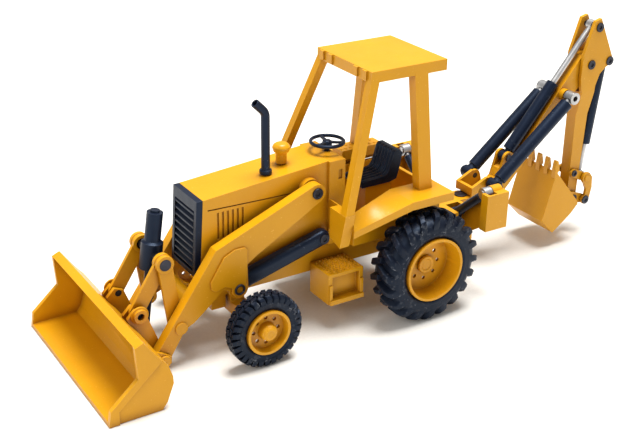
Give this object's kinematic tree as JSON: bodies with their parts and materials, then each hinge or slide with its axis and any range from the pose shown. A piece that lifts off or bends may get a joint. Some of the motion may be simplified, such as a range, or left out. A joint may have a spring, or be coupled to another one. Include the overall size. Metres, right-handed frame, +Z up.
{
  "type": "toy backhoe loader",
  "caption": "Die-cast toy backhoe loader with a front loader, a swinging rear digging arm, drop-down stabilisers, an open cab and free-rolling wheels.",
  "frame": {"origin": "floor point under the middle of the whole length, on the plane of symmetry", "axes": "+X towards the loader bucket, +Y to the left side of the machine, +Z up"},
  "size_m": [0.1452, 0.0448, 0.0571],
  "materials": {
    "yellow": "glossy enamel",
    "navy": "satin",
    "tyre": "matt",
    "steel": "polished",
    "rivet": "blackened"
  },
  "bodies": {
    "tractor": {"chassis_frame": "yellow", "rear_frame": "yellow", "chassis_pins": "rivet", "engine_hood": "yellow", "radiator_grille": "navy", "exhaust_stack": "navy", "air_precleaner": "yellow", "cowl": "yellow", "cab_tub": "yellow", "fender_left": "yellow", "fender_right": "yellow", "seat": "navy", "canopy": "yellow", "steps": "yellow", "front_axle_beam": "yellow", "rear_axle_shaft": "steel"},
    "rear_wheel_left": {"rear_tyre_left": "tyre", "rear_rim_left": "yellow"},
    "rear_wheel_right": {"rear_tyre_right": "tyre", "rear_rim_right": "yellow"},
    "front_wheel_left": {"front_tyre_left": "tyre", "front_rim_left": "yellow"},
    "front_wheel_right": {"front_tyre_right": "tyre", "front_rim_right": "yellow"},
    "steering_wheel": {"steering_wheel": "navy"},
    "loader_arms": {"loader_arm_left": "yellow", "loader_arm_right": "yellow", "loader_cross_tube": "yellow", "loader_pins": "rivet"},
    "lift_barrel": {"lift_barrels": "navy"},
    "lift_rod": {"lift_rods": "steel"},
    "tilt_lever": {"tilt_levers": "yellow", "tilt_trunnion": "rivet"},
    "tilt_link": {"tilt_links": "yellow"},
    "tilt_barrel": {"tilt_barrel": "navy"},
    "tilt_rod": {"tilt_rod": "navy"},
    "loader_bucket": {"loader_bucket": "yellow", "bucket_link_pins": "rivet"},
    "swing": {"swing_frame": "yellow", "swing_pins": "rivet"},
    "boom": {"boom": "yellow", "boom_pins": "rivet"},
    "boom_barrel": {"boom_barrels": "navy"},
    "boom_rod": {"boom_rods": "steel"},
    "stick": {"stick": "yellow", "stick_pins": "rivet"},
    "stick_barrel": {"stick_barrel": "navy"},
    "stick_rod": {"stick_rod": "steel"},
    "curl_barrel": {"curl_barrel": "navy"},
    "curl_rod": {"curl_rod": "steel"},
    "guide_lever": {"guide_levers": "yellow"},
    "bucket_link": {"bucket_links": "yellow"},
    "digger": {"backhoe_bucket": "yellow", "digger_link_pins": "rivet"},
    "stabiliser_leg_left": {"stabiliser_leg_left": "yellow"},
    "stabiliser_barrel_left": {"stabiliser_barrel_left": "navy"},
    "stabiliser_rod_left": {"stabiliser_rod_left": "steel"},
    "stabiliser_leg_right": {"stabiliser_leg_right": "yellow"},
    "stabiliser_barrel_right": {"stabiliser_barrel_right": "navy"},
    "stabiliser_rod_right": {"stabiliser_rod_right": "steel"}
  },
  "joints": [
    {"name": "rear_wheel_left_spin", "type": "hinge", "parent": "tractor", "child": "rear_wheel_left", "pos_m": [-0.00475, 0, 0.0129], "axis": [0, 1, 0], "continuous": true},
    {"name": "rear_wheel_right_spin", "type": "hinge", "parent": "tractor", "child": "rear_wheel_right", "pos_m": [-0.00475, 0, 0.0129], "axis": [0, 1, 0], "continuous": true},
    {"name": "front_wheel_left_spin", "type": "hinge", "parent": "tractor", "child": "front_wheel_left", "pos_m": [0.03605, 0, 0.0083], "axis": [0, 1, 0], "continuous": true},
    {"name": "front_wheel_right_spin", "type": "hinge", "parent": "tractor", "child": "front_wheel_right", "pos_m": [0.03605, 0, 0.0083], "axis": [0, 1, 0], "continuous": true},
    {"name": "steering_wheel_turn", "type": "hinge", "parent": "tractor", "child": "steering_wheel", "pos_m": [0.01045, 0, 0.0391], "axis": [0, 0, 1], "continuous": true},
    {"name": "loader_lift", "type": "hinge", "parent": "tractor", "child": "loader_arms", "pos_m": [0.01865, 0, 0.032], "axis": [0, -1, 0], "range_deg": [0, 75]},
    {"name": "lift_barrel_turn", "type": "hinge", "parent": "tractor", "child": "lift_barrel", "pos_m": [0.01625, 0, 0.0204], "axis": [0, -1, 0], "range_deg": [0, 63.25]},
    {"name": "lift_rod_slide", "type": "slide", "parent": "lift_barrel", "child": "lift_rod", "axis": [0.9643, 0, -0.2646], "range_m": [0, 0.01319]},
    {"name": "bucket_tilt", "type": "hinge", "parent": "loader_arms", "child": "loader_bucket", "pos_m": [0.05585, 0, 0.0031], "axis": [0, -1, 0], "range_deg": [-50, 10]},
    {"name": "tilt_lever_turn", "type": "hinge", "parent": "loader_arms", "child": "tilt_lever", "pos_m": [0.05125, 0, 0.009], "axis": [0, -1, 0], "range_deg": [-44.45, 9.05]},
    {"name": "tilt_link_turn", "type": "hinge", "parent": "loader_bucket", "child": "tilt_link", "pos_m": [0.05925, 0, 0.0132], "axis": [0, -1, 0], "range_deg": [-7.54, 36.9]},
    {"name": "tilt_barrel_turn", "type": "hinge", "parent": "tilt_lever", "child": "tilt_barrel", "pos_m": [0.05299, 0, 0.02287], "axis": [0, -1, 0], "range_deg": [-2.74, 12.88]},
    {"name": "tilt_rod_slide", "type": "slide", "parent": "tilt_barrel", "child": "tilt_rod", "axis": [0.1432, 0, -0.9897], "range_m": [-0.00404, 0.00082]},
    {"name": "backhoe_swing", "type": "hinge", "parent": "tractor", "child": "swing", "pos_m": [-0.02835, 0, 0.014], "axis": [0, 0, 1], "range_deg": [-60, 60]},
    {"name": "boom_lift", "type": "hinge", "parent": "swing", "child": "boom", "pos_m": [-0.03525, 0, 0.0145], "axis": [0, -1, 0], "range_deg": [0, 60]},
    {"name": "boom_barrel_turn", "type": "hinge", "parent": "swing", "child": "boom_barrel", "pos_m": [-0.03455, 0, 0.0207], "axis": [0, -1, 0], "range_deg": [0, 61.89]},
    {"name": "boom_rod_slide", "type": "slide", "parent": "boom_barrel", "child": "boom_rod", "axis": [-0.7755, 0, 0.6314], "range_m": [0, 0.00638]},
    {"name": "stick_swing", "type": "hinge", "parent": "boom", "child": "stick", "pos_m": [-0.0648, 0, 0.04565], "axis": [0, 1, 0], "range_deg": [0, 75]},
    {"name": "stick_barrel_turn", "type": "hinge", "parent": "boom", "child": "stick_barrel", "pos_m": [-0.04135, 0, 0.0252], "axis": [0, 1, 0], "range_deg": [0, 8.61]},
    {"name": "stick_rod_slide", "type": "slide", "parent": "stick_barrel", "child": "stick_rod", "axis": [-0.6409, 0, 0.7676], "range_m": [-0.01056, 0]},
    {"name": "bucket_curl", "type": "hinge", "parent": "stick", "child": "digger", "pos_m": [-0.06455, 0, 0.0098], "axis": [0, -1, 0], "range_deg": [-60, 0]},
    {"name": "guide_lever_turn", "type": "hinge", "parent": "stick", "child": "guide_lever", "pos_m": [-0.06365, 0, 0.0168], "axis": [0, -1, 0], "range_deg": [-44.49, 0]},
    {"name": "bucket_link_turn", "type": "hinge", "parent": "digger", "child": "bucket_link", "pos_m": [-0.06775, 0, 0.0089], "axis": [0, -1, 0], "range_deg": [0, 70.91]},
    {"name": "curl_barrel_turn", "type": "hinge", "parent": "stick", "child": "curl_barrel", "pos_m": [-0.07095, 0, 0.04575], "axis": [0, -1, 0], "range_deg": [0, 0.5785]},
    {"name": "curl_rod_slide", "type": "slide", "parent": "curl_barrel", "child": "curl_rod", "axis": [0.1099, 0, -0.9939], "range_m": [-0.00326, 0]},
    {"name": "stabiliser_left_drop", "type": "hinge", "parent": "tractor", "child": "stabiliser_leg_left", "pos_m": [-0.02325, 0.006, 0.0126], "axis": [-1, 0, 0], "range_deg": [0, 90]},
    {"name": "stabiliser_left_barrel_turn", "type": "hinge", "parent": "tractor", "child": "stabiliser_barrel_left", "pos_m": [-0.02325, 0.0052, 0.0162], "axis": [-1, 0, 0], "range_deg": [0, 87.45]},
    {"name": "stabiliser_left_rod_slide", "type": "slide", "parent": "stabiliser_barrel_left", "child": "stabiliser_rod_left", "axis": [0, 0.7526, 0.6585], "range_m": [0, 0.00518]},
    {"name": "stabiliser_right_drop", "type": "hinge", "parent": "tractor", "child": "stabiliser_leg_right", "pos_m": [-0.02325, -0.006, 0.0126], "axis": [1, 0, 0], "range_deg": [0, 90]},
    {"name": "stabiliser_right_barrel_turn", "type": "hinge", "parent": "tractor", "child": "stabiliser_barrel_right", "pos_m": [-0.02325, -0.0052, 0.0162], "axis": [1, 0, 0], "range_deg": [0, 87.45]},
    {"name": "stabiliser_right_rod_slide", "type": "slide", "parent": "stabiliser_barrel_right", "child": "stabiliser_rod_right", "axis": [0, -0.7526, 0.6585], "range_m": [0, 0.00518]}
  ],
  "couplings": [
    {"joint": "lift_barrel_turn", "follows": "loader_lift", "ratio": 0.82414},
    {"joint": "lift_rod_slide", "follows": "loader_lift", "m_per_rad": 0.0098604},
    {"joint": "tilt_lever_turn", "follows": "bucket_tilt", "ratio": 0.8676},
    {"joint": "tilt_link_turn", "follows": "bucket_tilt", "ratio": -0.71967},
    {"joint": "tilt_barrel_turn", "follows": "bucket_tilt", "ratio": -0.24857},
    {"joint": "tilt_rod_slide", "follows": "bucket_tilt", "m_per_rad": 0.0045219},
    {"joint": "boom_barrel_turn", "follows": "boom_lift", "ratio": 1.008},
    {"joint": "boom_rod_slide", "follows": "boom_lift", "m_per_rad": 0.0059527},
    {"joint": "stick_barrel_turn", "follows": "stick_swing", "ratio": 0.10997},
    {"joint": "stick_rod_slide", "follows": "stick_swing", "m_per_rad": -0.0078964},
    {"joint": "guide_lever_turn", "follows": "bucket_curl", "ratio": 0.72365},
    {"joint": "bucket_link_turn", "follows": "bucket_curl", "ratio": -1.1553},
    {"joint": "curl_barrel_turn", "follows": "bucket_curl", "ratio": -0.0061842},
    {"joint": "curl_rod_slide", "follows": "bucket_curl", "m_per_rad": 0.0030291},
    {"joint": "stabiliser_left_barrel_turn", "follows": "stabiliser_left_drop", "ratio": 0.95047},
    {"joint": "stabiliser_left_rod_slide", "follows": "stabiliser_left_drop", "m_per_rad": 0.0032224},
    {"joint": "stabiliser_right_barrel_turn", "follows": "stabiliser_right_drop", "ratio": 0.95047},
    {"joint": "stabiliser_right_rod_slide", "follows": "stabiliser_right_drop", "m_per_rad": 0.0032224}
  ]
}
